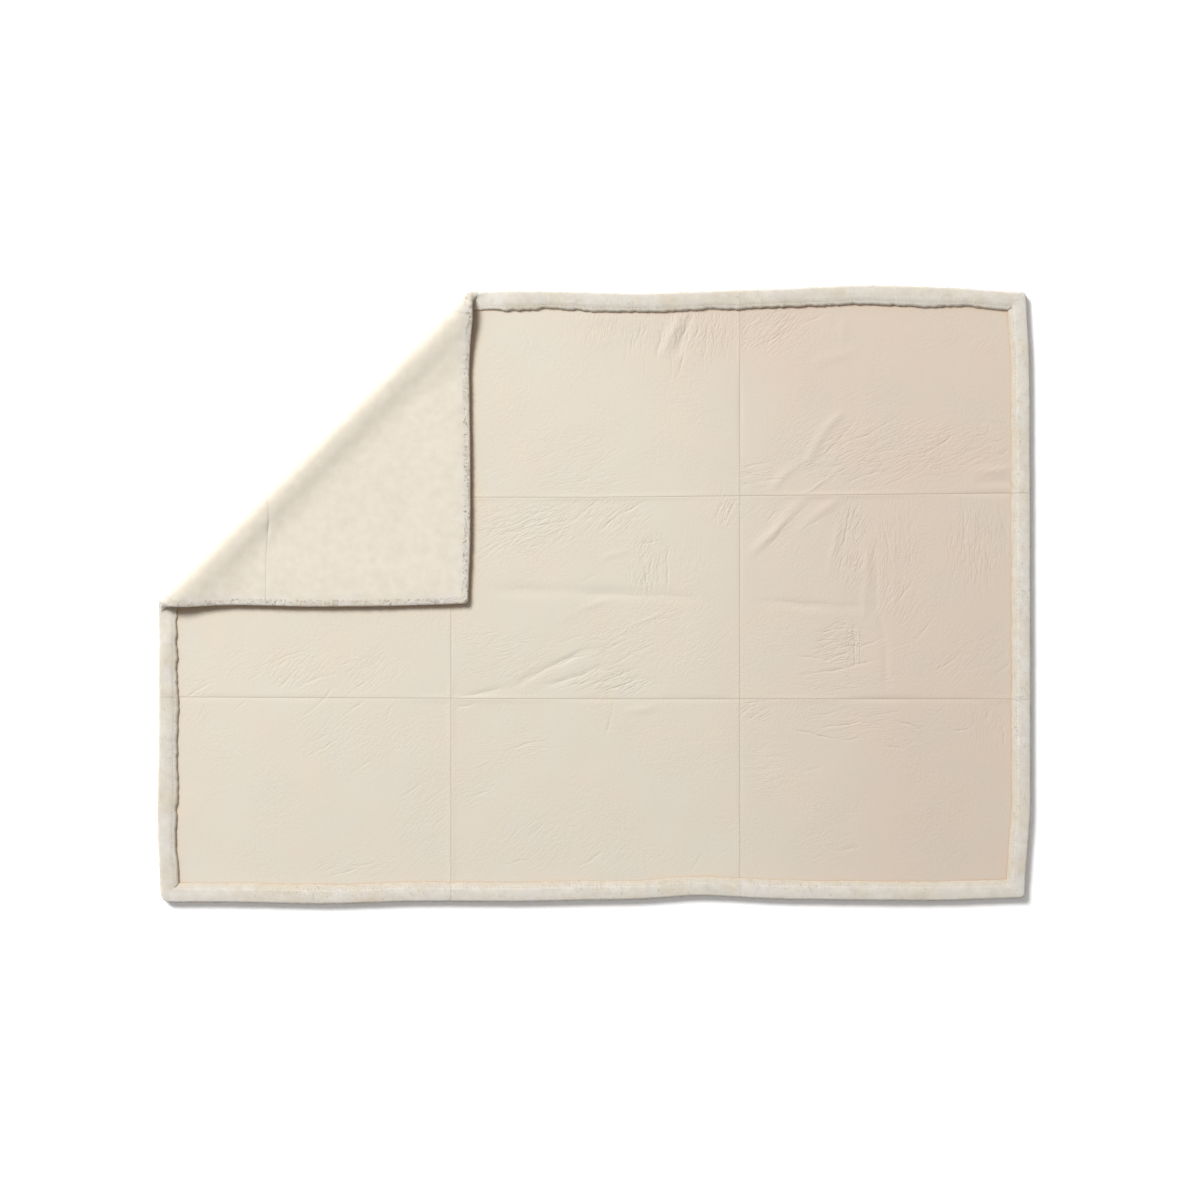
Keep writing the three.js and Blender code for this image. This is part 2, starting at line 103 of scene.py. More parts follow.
# The creases of the skin, which set where the hide was folded and dried. Each row is one ridge, or a trough
# where its height is below zero. The broad ones shape the sheet, and the leather's finish draws the narrow
# ones, which are sharper than the sheet's own grid.
creases = [
    # from x, from y, to x, to y, bow, half width, height
    # The top middle panel
    (178, 590, 145, 498, 0, 15, 2.6), (203, 588, 172, 500, 0, 10, -2.0),
    (200, 586, 174, 520, 0, 6, -0.8), (196, 557, 170, 451, 3, 6, -0.8), (161, 512, 161, 447, 0, 4, -0.4),
    (146, 568, 129, 494, 0, 8, -0.9), (100, 575, 82, 518, 2, 6, -0.7), (114, 575, 98, 532, 0, 4, -0.4),
    (88, 575, 76, 500, 0, 4, -0.35), (219, 575, 206, 520, 0, 5, -0.7), (235, 573, 225, 487, 2, 5, -0.7),
    (251, 575, 243, 500, 0, 4, -0.4), (274, 577, 268, 508, 0, 5, -0.5), (288, 575, 286, 496, 0, 4, -0.3),
    (106, 500, 106, 455, 0, 4, -0.35), (72, 549, 63, 475, 0, 4, -0.35),
    (-141, 565, -123, 496, 0, 4, -0.25), (10, 269, 57, 306, 0, 4, -0.4),
    (-106, 279, -74, 297, 0, 4, -0.3), (-76, 222, -2, 238, 0, 4, -0.3),
    # The top right panel
    (511, 377, 435, 263, -6, 13, 2.0), (546, 373, 456, 269, 6, 7, -0.6),
    (437, 276, 362, 210, -4, 13, 1.3), (495, 304, 628, 369, -10, 5, -0.5),
    (448, 471, 546, 500, 4, 15, 0.7), (672, 275, 748, 332, 2, 5, -0.8), (515, 220, 591, 250, 3, 6, -0.7),
    (599, 218, 654, 246, 0, 4, -0.6), (746, 257, 799, 279, 0, 5, -0.5), (807, 308, 848, 318, 0, 4, -0.5),
    (828, 279, 850, 293, 0, 4, -0.6), (772, 246, 872, 249, 0, 12, 1.4),
    (780, 222, 876, 225, 0, 11, -1.8), (329, 512, 407, 547, 0, 5, -0.5),
    (429, 557, 476, 579, 0, 5, -0.6), (509, 500, 515, 575, 0, 12, 0.55),
    (305, 259, 366, 269, 0, 5, -0.4), (305, 220, 403, 234, 2, 6, -0.5), (505, 254, 423, 199, 4, 7, 0.8),
    # The middle right panel
    (437, 201, 317, 77, 3, 14, 2.1), (452, 193, 333, 71, -2, 8, -0.45),
    (517, 199, 415, 122, -4, 14, 1.3), (497, 169, 411, 120, 0, 6, -0.35),
    (380, 171, 354, 144, 0, 4, -0.6), (505, 152, 476, 34, 3, 10, 0.9), (527, 187, 507, 79, 2, 5, -0.8),
    (542, 183, 521, 111, 0, 5, -0.6), (511, 79, 501, 30, 0, 4, -0.5), (595, 140, 619, 34, -3, 5, -0.6),
    (587, 124, 562, 46, 0, 5, -0.5), (654, 30, 619, -19, 0, 5, -0.7), (558, 111, 552, -52, 3, 10, 1.0),
    (580, 105, 576, -40, 0, 9, -0.9), (613, 108, 616, -50, 0, 10, 0.5), (752, 193, 762, 46, 0, 7, -0.5),
    (801, 111, 807, 9, 0, 5, -0.5), (824, 183, 850, 91, 0, 6, -0.6), (325, -11, 562, -28, -3, 13, -1.3),
    (352, -13, 550, -24, 0, 7, -0.3), (583, -36, 597, -199, 7, 9, -0.8),
    (701, -42, 656, -95, 0, 5, -0.5), (460, -81, 521, -62, 0, 5, -0.6),
    (464, -109, 517, -91, 0, 5, -0.6), (472, -138, 529, -113, 0, 5, -0.7),
    (533, -62, 536, -146, 0, 5, -0.9), (542, -109, 591, -89, 0, 5, -0.6),
    (419, -165, 591, -128, -6, 6, -0.9), (413, -124, 489, -136, 0, 6, -0.6),
    (699, -158, 754, -118, 0, 5, -0.5), (850, -138, 820, -167, 0, 7, -0.7),
    # The centre panel
    (-223, 9, 219, -7, 3, 18, -1.7), (-35, 1, 219, -5, 0, 8, -0.35), (153, 99, 151, 5, 0, 5, -1.0),
    (-67, -54, 59, -7, 8, 10, 0.7), (57, -79, 153, -34, 4, 8, 0.6), (-172, -192, 12, -104, 3, 10, -1.5),
    (-133, -175, -14, -111, 2, 7, -0.6), (-63, -142, -2, -122, 4, 5, -0.7),
    (-110, -189, 24, -142, -5, 9, -1.2), (-96, -185, 18, -144, -5, 6, -0.6),
    (-286, -211, -160, -188, -3, 9, -1.1), (-280, -210, -190, -192, -3, 6, -0.6),
    (-76, -195, 14, -171, 0, 5, -0.6), (-194, 118, -63, 165, 3, 5, -0.5),
    (-180, 124, -33, 154, 2, 5, -0.5), (-153, 150, -63, 185, 0, 5, -0.4),
    (-235, 68, -180, 111, 0, 5, -0.5), (-231, 87, -190, 120, 0, 4, -0.4),
    (-55, 138, 18, 193, 3, 6, -0.5), (10, 128, 112, 193, 4, 6, -0.8), (22, 152, 76, 187, 0, 5, -0.5),
    (6, 68, 100, 93, 4, 9, 0.6), (-31, 21, 10, 42, 0, 8, -0.4), (100, 71, 117, -3, 0, 5, -0.7),
    (96, 101, 137, 111, 0, 4, -0.6), (123, 79, 112, 30, 0, 4, -0.6), (131, 64, 137, 9, 0, 4, -0.5),
    (84, 50, 96, 9, 0, 4, -0.5), (-78, -101, -18, -83, 0, 5, -0.4), (14, -118, 67, -93, 0, 5, -0.5),
    (27, -150, 117, -103, 0, 5, -0.5), (251, 152, 264, 185, 0, 4, -0.7),
    (276, 160, 296, 193, 0, 5, -0.9), (-27, -195, 96, -150, 0, 5, -0.6),
    (14, -199, 117, -167, 0, 5, -0.6),
    # The left column
    (-668, -158, -599, -124, 0, 6, -0.4), (-656, -138, -574, -109, 0, 4, -0.4),
    (-644, -195, -603, -150, 0, 5, -0.5), (-619, -199, -525, -162, 3, 6, -0.6),
    (-529, -191, -591, -252, 2, 7, -0.7), (-521, -150, -484, -134, 0, 4, -0.4),
    (-509, -216, -452, -167, 0, 4, -0.5), (-832, -210, -791, -187, 0, 5, -0.6),
    (-709, -183, -672, -154, 0, 4, -0.4), (-511, -248, -468, -222, 0, 5, -0.6),
    (-583, -308, -538, -283, 0, 5, -0.5), (-591, -338, -507, -287, 0, 5, -0.5),
    (-497, -371, -444, -334, 0, 5, -0.4), (-423, -261, -411, -228, 0, 4, -0.5),
    (-501, -559, -439, -551, 0, 5, -0.4), (-538, -575, -476, -563, 0, 4, -0.5),
    (-394, -420, -354, -391, 0, 5, -0.4), (-345, -432, -300, -396, 0, 6, -0.4),
    (-333, -492, -298, -451, 0, 6, -0.4), (-738, -240, -713, -220, 0, 4, -0.5),
    # The bottom middle and bottom right panels
    (-280, -232, -239, -224, 0, 6, -0.7), (-186, -324, -92, -299, 3, 5, -0.5),
    (-243, -355, -211, -340, 0, 5, 0.5), (43, -216, 27, -293, 0, 6, -0.6),
    (59, -240, 137, -228, 0, 10, 1.0), (-251, -420, -206, -400, 0, 5, -0.4),
    (-133, -502, -98, -473, 0, 5, -0.4), (-108, -514, -67, -498, 0, 5, -0.4),
    (-35, -567, 22, -535, 0, 6, -0.5), (-190, -559, -129, -547, 0, 6, -0.5),
    (198, -584, 223, -547, 0, 6, -0.5), (311, -222, 378, -214, 0, 5, -0.7),
    (307, -240, 341, -224, 0, 4, -0.6), (311, -257, 350, -238, 0, 4, -0.6),
    (464, -273, 554, -257, -3, 5, -0.9), (407, -277, 509, -299, 0, 5, -0.9),
    (613, -257, 683, -291, 6, 5, -0.9), (730, -283, 771, -273, 0, 5, -0.6),
    (448, -248, 505, -240, 0, 4, -0.5), (562, -248, 628, -240, 0, 5, -0.5),
    (505, -301, 550, -293, 0, 5, -0.4), (595, -310, 640, -318, 0, 5, -0.6),
    (341, -363, 390, -355, 0, 5, -0.4), (350, -391, 386, -379, 0, 5, -0.4),
    (423, -367, 468, -355, 0, 7, -0.5), (801, -216, 807, -257, 0, 6, -0.6),
    (834, -252, 838, -314, 0, 5, -0.6), (501, -532, 546, -524, 0, 6, -0.5),
]
broad_crease = 8.5
crease_layers = 5
widest_waver = 3

# Where finer wrinkles run side by side, which the finish draws: the middle of each patch, its half sizes,
# which of the directions the wrinkles take in degrees, and how strong they are
wrinkle_angles = [8, 24, 42, 66, 88]
wrinkle_patches = [
    # x, y, across, up, angle, strength
    (137, 556, 164, 44, 88, 1.1), (215, 552, 74, 42, 66, 0.9), (243, 540, 57, 57, 88, 1.0),
    (14, 545, 74, 37, 88, 0.6), (-37, 285, 112, 57, 24, 0.6), (-16, 230, 102, 29, 8, 0.7),
    (-211, 244, 41, 29, 24, 0.4), (-129, 530, 31, 37, 66, 0.4), (362, 545, 69, 45, 42, 1.4),
    (546, 285, 123, 69, 24, 1.2), (689, 295, 123, 61, 24, 1.1), (801, 295, 49, 61, 24, 0.9),
    (341, 242, 49, 33, 8, 1.0), (423, 316, 53, 69, 42, 0.6), (576, 408, 82, 29, 24, 0.5),
    (689, 510, 61, 25, 24, 0.4), (801, 520, 45, 33, 42, 0.6), (529, 101, 37, 98, 66, 1.3),
    (607, 91, 57, 98, 88, 0.9), (781, 95, 65, 90, 88, 1.0), (362, 152, 53, 49, 42, 0.6),
    (501, -103, 53, 49, 8, 1.3), (501, -93, 49, 45, 24, 0.8), (536, -103, 20, 49, 88, 1.3),
    (628, -11, 61, 53, 66, 0.8), (638, -97, 57, 33, 24, 0.6), (740, -144, 61, 45, 42, 0.6),
    (811, -124, 41, 69, 42, 0.6), (495, -175, 123, 25, 8, 0.8), (403, -93, 69, 41, 8, 0.4),
    (-129, 142, 114, 57, 24, 1.2), (-211, 95, 41, 41, 42, 0.9), (35, 162, 82, 41, 42, 1.0),
    (112, 60, 41, 69, 66, 1.1), (112, 60, 37, 61, 88, 0.8), (198, 71, 49, 69, 88, 0.5),
    (55, -103, 82, 45, 24, 0.8), (39, -175, 86, 33, 24, 1.4), (-190, -103, 94, 35, 8, 0.8),
    (-149, -150, 123, 47, 24, 0.7), (219, -93, 61, 82, 42, 0.5), (268, 169, 29, 33, 66, 1.2),
    (147, -42, 49, 20, 24, 0.8), (-619, -150, 82, 45, 42, 0.8), (-456, -158, 69, 45, 42, 0.8),
    (-811, -195, 37, 25, 24, 0.9), (-722, -134, 102, 51, 42, 0.3), (-548, -287, 82, 57, 42, 0.6),
    (-425, -297, 82, 82, 42, 0.5), (-354, -461, 57, 102, 42, 0.5), (-814, -246, 33, 33, 66, 0.6),
    (-486, -559, 102, 29, 24, 0.7), (-803, -379, 49, 102, 42, 0.3), (-149, -314, 82, 37, 8, 0.6),
    (-241, -400, 49, 53, 24, 0.5), (-98, -512, 123, 61, 42, 0.6), (55, -553, 184, 33, 42, 0.5),
    (96, -257, 82, 41, 24, 0.3), (333, -238, 33, 25, 24, 1.2), (525, -261, 102, 37, 8, 0.8),
    (628, -287, 74, 37, 8, 0.5), (362, -359, 57, 69, 8, 0.6), (801, -267, 45, 53, 88, 0.8),
    (484, -522, 82, 41, 24, 0.5),
]
swell_sizes = [(0.0042, 1.5), (0.011, 0.6), (0.03, 0.15)]


def smooth(value, low, high):
    """None below low and one above high, with a soft ease between."""
    share = np.clip((value - low) / (high - low), 0, 1)
    return share * share * (3 - 2 * share)


def wrinkle_strength(x, y):
    """How strongly each direction of fine wrinkles shows at each point."""
    strengths = np.zeros((len(wrinkle_angles), len(x)))
    for middle_x, middle_y, across, up, angle, strength in wrinkle_patches:
        index = wrinkle_angles.index(angle)
        off = np.hypot((x - middle_x) / across, (y - middle_y) / up)
        strengths[index] = np.maximum(strengths[index], strength * (1 - smooth(off, 0.5, 1.5)))
    return strengths


def off_crease(x, y, row, reach):
    """The points near one crease: which they are, how far aside of it, and how strong it is there."""
    from_x, from_y, to_x, to_y, bow, half, _ = row
    run = np.array([to_x - from_x, to_y - from_y])
    length = np.hypot(*run)
    along = ((x - from_x) * run[0] + (y - from_y) * run[1]) / length
    aside = ((y - from_y) * run[0] - (x - from_x) * run[1]) / length
    beside = reach * half + abs(bow / 2) + widest_waver
    near = np.flatnonzero((along > 0) & (along < length) & (np.abs(aside - bow / 2) < beside))
    on = along[near]
    swung = np.sin(math.pi * (on / length))
    # A crease wavers in a long and a short wave, and comes and goes along its length
    waver = np.sin(on / (1.5 * half + 3.5) + from_x) + 0.6 * np.sin(on / (0.8 * half + 0.7) + from_y)
    away = aside[near] - bow * swung - waver
    fade = swung**0.6 * (0.85 + 0.25 * np.sin(on / (1.6 * half) + to_x))
    close = np.abs(away) < reach * half
    return near[close], away[close], fade[close]


def crease_height(x, y, rows):
    """How far broad creases raise or lower the skin at each point."""
    total = np.zeros(len(x))
    for row in rows:
        half, height = row[5:]
        near, away, fade = off_crease(x, y, row, 2.5)
        total[near] += height * fade * np.exp(-((1.5 * away / half) ** 2))
    return total


def crease_shades(x, y, rows):
    """For each layer: how far aside of a narrow crease each point is, in its half widths, and its height."""
    aside = np.zeros((crease_layers, len(x)))
    height = np.zeros((crease_layers, len(x)))
    taken = np.zeros((crease_layers, len(x)), bool)
    for row in rows:
        near, away, fade = off_crease(x, y, row, 2.4)
        clashes = taken[:, near].sum(1)
        layer = int(np.argmin(clashes))
        free = ~taken[layer, near]
        chosen = near[free]
        aside[layer, chosen] = away[free] / row[5]
        height[layer, chosen] = row[6] * fade[free] * (1 - smooth(np.abs(aside[layer, chosen]), 1.2, 2.2))
        taken[layer, chosen] = True
    return aside, height


def swell(x, y, sizes, seed):
    """Broad soft unevenness, from noise of several sizes."""
    heights = np.zeros(len(x))
    for frequency, height in sizes:
        points = zip(x * frequency, y * frequency)
        heights += height * np.array([noise.noise((px, py, seed)) for px, py in points])
    return heights


# Laying: the outline is as uneven as the real one, and the top left corner is folded over along a soft roll
# at 45 degrees, which is wider at its two ends, where the turned edge runs through it.
long_edges = np.array([
    # along, top inset, bottom inset
    (-891, 22, 4), (-756, 17, 4), (-540, 17, 0), (-370, 17, 6), (-150, 12, 5), (-20, 14, 8),
    (110, 18, 10), (210, 13, 19), (370, 8, 10), (550, 0, 8), (720, 4, 7), (891, 16, 13),
])
short_edges = np.array([
    # along, left inset, right inset
    (-632, 8, 10), (-460, 0, -3), (-320, 4, -3), (-90, 4, -3), (300, 0, -2), (497.5, 2, -1), (632, 7, 7),
])
seam_rises = [
    # row seam, rise at the left edge, rise at the right edge
    (198.5, 0, 9), (-213.6, 4, 0),
]
edge_ease = 420
seam_ease = 200
corner_radius, lower_left_radius = 8, 20
fold_reach = 616.5
loop_radius, end_loop_radius = 7.8, 9.8
loop_middle, loop_half_length = -193, 447
end_loop_length, loop_ease = 110, 140
flap_slope = math.radians(19)
crest_share = 0.3
flap_gap = 3
hem_lift, lift_end = 4.2, 135
pressed_hem, pressed_flap = 0.5, 0.8
end_tuck, flap_slack = 0.55, 4.5
held_edge = edge_width + 6
blur_steps = [-36, -18, 0, 18, 36]


def inset_at(table, column, along):
    """How far the outline is drawn in, blurred along it so that it has no kinks."""
    insets = [np.interp(along + step, table[:, 0], table[:, column]) for step in blur_steps]
    return sum(insets) / len(insets)


def uneven(x, y):
    """The flat throw's true outline: corners rounded, edges drawn in, row seams not quite level."""
    from_side = throw_length / 2 - np.abs(x)
    from_end = throw_width / 2 - np.abs(y)
    radius = np.where((x < 0) & (y < 0), lower_left_radius, corner_radius)
    right = np.clip(radius - from_side, 0.001, None)
    up = np.clip(radius - from_end, 0.001, None)
    pull = np.maximum(right, up) / np.hypot(right, up)
    corner = (from_side < radius) & (from_end < radius)
    out_x = np.where(corner, np.sign(x) * (throw_length / 2 - radius + right * pull), x)
    out_y = np.where(corner, np.sign(y) * (throw_width / 2 - radius + up * pull), y)
    out_x += inset_at(short_edges, 1, y) * (1 - smooth(x + throw_length / 2, held_edge, edge_ease))
    out_x -= inset_at(short_edges, 2, y) * (1 - smooth(throw_length / 2 - x, held_edge, edge_ease))
    out_y += inset_at(long_edges, 2, x) * (1 - smooth(y + throw_width / 2, held_edge, edge_ease))
    out_y -= inset_at(long_edges, 1, x) * (1 - smooth(throw_width / 2 - y, held_edge, edge_ease))
    for seam, left_rise, right_rise in seam_rises:
        rise = np.abs(x) / (throw_length / 2) * np.where(x < 0, left_rise, right_rise)
        out_y += rise * np.clip(1 - np.abs(y - seam) / seam_ease, 0, None)
    return out_x, out_y


def lay(x, y, z):
    """Where points of the flat throw lie once its outline is uneven and its corner is folded over."""
    flat_x, flat_y = uneven(x, y)
    outward = (flat_y - flat_x) / math.sqrt(2)
    along_fold = (flat_x + flat_y) / math.sqrt(2)
    from_end = loop_half_length - np.abs(along_fold - loop_middle)
    narrow = smooth(from_end, end_loop_length, end_loop_length + loop_ease)
    radius = end_loop_radius + (loop_radius - end_loop_radius) * narrow
    start = fold_reach - radius - cloth
    way = outward - start
    # The roll, then a broad crest that turns on down, then an ease that levels out on the skin below
    roll = math.pi * radius
    curve = (2 * radius - flap_gap) / (1 - math.cos(flap_slope))
    crest_radius, ease_radius = crest_share * curve, (1 - crest_share) * curve
    crest, ease = crest_radius * flap_slope, ease_radius * flap_slope
    rolled = np.clip(way, 0, roll) / radius
    crested = np.clip(way - roll, 0, crest) / crest_radius
    eased = np.clip(way - roll - crest, 0, ease) / ease_radius
    heading = rolled + crested - eased
    out = radius * np.sin(rolled) - crest_radius * np.sin(crested) + np.minimum(0, way)
    out -= ease_radius * (math.sin(flap_slope) - np.sin(flap_slope - eased))
    out -= np.clip(way - roll - crest - ease, 0, None)
    out += flap_slack * smooth(way, roll, roll + crest + ease)
    rise = cloth + radius * (1 - np.cos(rolled)) - crest_radius * (1 - np.cos(crested))
    rise -= ease_radius * (np.cos(flap_slope - eased) - math.cos(flap_slope))
    pressed = 1 + (pressed_hem - 1) * smooth(way, -60, -5)
    from_edge = np.minimum(x + throw_length / 2, throw_width / 2 - y)
    over_hem = 1 - smooth(from_edge, held_edge, lift_end)
    thinner = 1 + (pressed_flap - 1) * over_hem * smooth(way, roll, roll + crest)
    above = (z - cloth) * np.where(z > cloth, pressed, thinner)
    lift = hem_lift * over_hem * smooth(way, roll * 0.8, roll + crest + ease * 0.6)
    tuck = end_tuck * np.clip(cloth - z, 0, None) * np.sin(heading) * (1 - smooth(from_end, 10, 80))
    along_fold = along_fold - np.sign(along_fold - loop_middle) * tuck
    laid_out = start + out - above * np.sin(heading)
    height = rise + above * np.cos(heading) + lift
    laid_x = (along_fold - laid_out) / math.sqrt(2)
    laid_y = (along_fold + laid_out) / math.sqrt(2)
    return np.stack([laid_x, laid_y, height], 1)


# The finishes. The skin side is sheepskin leather, tanned, dyed cream and lightly buffed: a matt face with a
# fine grain, which is faintly blotched. The wool is sheared to one length and combed: matt, soft and creamy.
def linear(hex_colour):
    """An sRGB colour such as "E7DFD0" as linear red, green, blue and alpha."""
    shares = [int(hex_colour[i : i + 2], 16) / 255 for i in (0, 2, 4)]
    return [s / 12.92 if s <= 0.04045 else ((s + 0.055) / 1.055) ** 2.4 for s in shares] + [1.0]


def add_node(tree, kind, settings=None, inputs=None):
    """A shader node with its settings, and its inputs as numbers, colours or other nodes' outputs."""
    node = tree.nodes.new(kind)
    for name, value in (settings or {}).items():
        setattr(node, name, value)
    for name, value in (inputs or {}).items():
        if isinstance(value, bpy.types.NodeSocket):
            tree.links.new(value, node.inputs[name])
        else:
            node.inputs[name].default_value = value
    return node


def new_material(name):
    """An empty material, its node tree and its output."""
    material = bpy.data.materials.new(name)
    material.use_nodes = True
    tree = material.node_tree
    tree.nodes.clear()
    output = add_node(tree, "ShaderNodeOutputMaterial")
    return material, tree, output


def ramp(tree, factor, stops):
    """A colour ramp from (place, colour) stops."""
    node = add_node(tree, "ShaderNodeValToRGB", inputs={"Fac": factor})
    while len(node.color_ramp.elements) < len(stops):
        node.color_ramp.elements.new(0.5)
    for element, (place, colour) in zip(node.color_ramp.elements, stops):
        element.position = place
        element.color = colour
    return node.outputs["Color"]


def math_node(tree, operation, first, second, third=0.0):
    """A number worked out from two or three others."""
    node = add_node(tree, "ShaderNodeMath", {"operation": operation}, {0: first, 1: second, 2: third})
    return node.outputs[0]


def attribute(tree, name):
    """A number that the mesh holds at each point."""
    return add_node(tree, "ShaderNodeAttribute", {"attribute_name": name}).outputs["Fac"]


def mix_colour(tree, blend, factor, first, second):
    """Two colours mixed by a factor."""
    node = add_node(tree, "ShaderNodeMix", {"data_type": "RGBA", "blend_type": blend})
    for place, value in zip((0, 6, 7), (factor, first, second)):
        if isinstance(value, bpy.types.NodeSocket):
            tree.links.new(value, node.inputs[place])
        else:
            node.inputs[place].default_value = value
    return node.outputs[2]


def with_painted_shade(tree, colour, deep, reach, low, high):
    """A colour with painted shade: it turns darker and warmer where other cloth is close, standing in for
    the shade there and the light bounced between the cloths. Deep is the colour that the painted shade
    multiplies in where the cloth is most closed in.
    """
    open_sky = add_node(tree, "ShaderNodeAmbientOcclusion", {"samples": 6}, {"Distance": reach})
    # Painted shade: the less open sky a point sees, the closer its colour comes to the deep one
    painted_shade_ramp = ramp(tree, open_sky.outputs["AO"], [(low, linear(deep)), (high, (1, 1, 1, 1))])
    return mix_colour(tree, "MULTIPLY", 1.0, colour, painted_shade_ramp)


def sharp_slope(tree, aside):
    """One at the middle of a crease, falling ever more gently to nothing at its half width."""
    near = math_node(tree, "SUBTRACT", 1.0, math_node(tree, "ABSOLUTE", aside, 0.0))
    return math_node(tree, "POWER", math_node(tree, "MAXIMUM", near, 0.0), 2.0)


def wrinkle_lines(tree, vector, scale):
    """Thin wavering lines: where a noise passes through its middle value."""
    lines = add_node(tree, "ShaderNodeTexNoise", inputs={
        "Vector": vector, "Scale": scale, "Detail": 1.5, "Roughness": 0.5, "Distortion": 0.5,
    })
    return sharp_slope(tree, math_node(tree, "MULTIPLY_ADD", lines.outputs["Fac"], 6.5, -3.25))


# How long and how far apart the leather's fine wrinkles and its faint network are in metres, and how deep
# they are in millimetres
wrinkle_length = 0.036
wrinkle_pitch = 0.0078
wrinkle_depth = 0.42
network_pitch = 0.012
network_depth = 0.19


def buffed_sheepskin():
    """Cream leather, lightly buffed: faint blotches, a pinker and darker cream towards the right and along
    the top, which is partly the hides' own tone and partly painted shade, a fine grain, and crisp fine
    wrinkles where the hide was folded. Dark seams, a browner slit under the raw lip that is partly its raw
    edge and partly painted shade, and painted shade, darker and browner, where other cloth is near."""
    material, tree, output = new_material("buffed_sheepskin")
    place = add_node(tree, "ShaderNodeTexCoord").outputs["Object"]
    blotch = add_node(tree, "ShaderNodeTexNoise", inputs={"Vector": place, "Scale": 9, "Detail": 3})
    cream = ramp(tree, blotch.outputs["Fac"], [(0.35, linear("CDC6B9")), (0.65, linear("D0C6B6"))])
    # Partly the hides' own pinker tone and partly painted shade: this cream is darker, for the light that
    # falls off towards the right and along the top
    pink_with_shade = ramp(tree, blotch.outputs["Fac"], [(0.35, linear("C9BCAD")), (0.65, linear("CBBBAC"))])
    colour = mix_colour(tree, "MIX", attribute(tree, "pink_and_painted_shade"), cream, pink_with_shade)
    fleck = add_node(tree, "ShaderNodeTexNoise", inputs={"Vector": place, "Scale": 240, "Detail": 2})
    flecked = ramp(tree, fleck.outputs["Fac"], [(0.3, (0.97, 0.97, 0.97, 1)), (0.7, (1.0, 1.0, 1.0, 1))])
    colour = mix_colour(tree, "MULTIPLY", 1.0, colour, flecked)
    # Darker brown along the seams, the joints' own colour, and in and beside the slit under the raw lip,
    # which is partly the raw leather edge's own colour and partly painted shade
    colour = mix_colour(tree, "MIX", attribute(tree, "seam"), colour, linear("A8937B"))
    # Painted shade: darker and browner where other cloth is near, as under the flap, in its loop's openings
    # and beside the raw lip
    colour = with_painted_shade(tree, colour, "FFD4A8", 0.08, 0.4, 0.76)

    # Grain drawn about twice its real size so that it shows
    grain = add_node(tree, "ShaderNodeTexNoise", inputs={"Vector": place, "Scale": 260, "Detail": 3})
    bump = add_node(tree, "ShaderNodeBump", inputs={
        "Strength": 0.25, "Distance": 0.0005, "Height": grain.outputs["Fac"],
    })
    # Heights are in millimetres. Fine wrinkles come and go in small clusters, and a faint network of them
    # is nearly everywhere.
    cluster = add_node(tree, "ShaderNodeTexNoise", inputs={"Vector": place, "Scale": 30, "Detail": 2})
    broken = ramp(tree, cluster.outputs["Fac"], [(0.3, (0.3, 0.3, 0.3, 1)), (0.55, (1, 1, 1, 1))])
    region = add_node(tree, "ShaderNodeTexNoise", inputs={"Vector": place, "Scale": 8, "Detail": 1})
    faint = ramp(tree, region.outputs["Fac"], [(0.4, (0.2, 0.2, 0.2, 1)), (0.6, (1, 1, 1, 1))])
    network = wrinkle_lines(tree, place, 1 / network_pitch)
    height = math_node(tree, "MULTIPLY", math_node(tree, "MULTIPLY", network, faint), -network_depth)
    for index, angle in enumerate(wrinkle_angles):
        turned = add_node(tree, "ShaderNodeVectorRotate", {"rotation_type": "Z_AXIS"}, {
            "Vector": place, "Angle": -math.radians(angle),
        })
        stretch = (1 / wrinkle_length, 1 / wrinkle_pitch, 1 / wrinkle_length)
        drawn = add_node(tree, "ShaderNodeMapping", inputs={
            "Vector": turned.outputs["Vector"], "Scale": stretch,
        })
        lines = wrinkle_lines(tree, drawn.outputs["Vector"], 1.0)
        strength = math_node(tree, "MULTIPLY", attribute(tree, f"wrinkle_{index}"), broken)
        deep = math_node(tree, "MULTIPLY", strength, -wrinkle_depth)
        height = math_node(tree, "MULTIPLY_ADD", lines, deep, height)
    for layer in range(crease_layers):
        slope = sharp_slope(tree, attribute(tree, f"aside_{layer}"))
        height = math_node(tree, "MULTIPLY_ADD", slope, attribute(tree, f"height_{layer}"), height)
    wrinkled = add_node(tree, "ShaderNodeBump", inputs={
        "Strength": 1.0, "Distance": 0.001, "Height": height, "Normal": bump.outputs["Normal"],
    })
    shader = add_node(tree, "ShaderNodeBsdfPrincipled", inputs={
        "Base Color": colour, "Roughness": 0.7, "IOR": 1.45, "Specular IOR Level": 0.3,
        "Normal": wrinkled.outputs["Normal"],
    })
    tree.links.new(shader.outputs["BSDF"], output.inputs["Surface"])
    return material


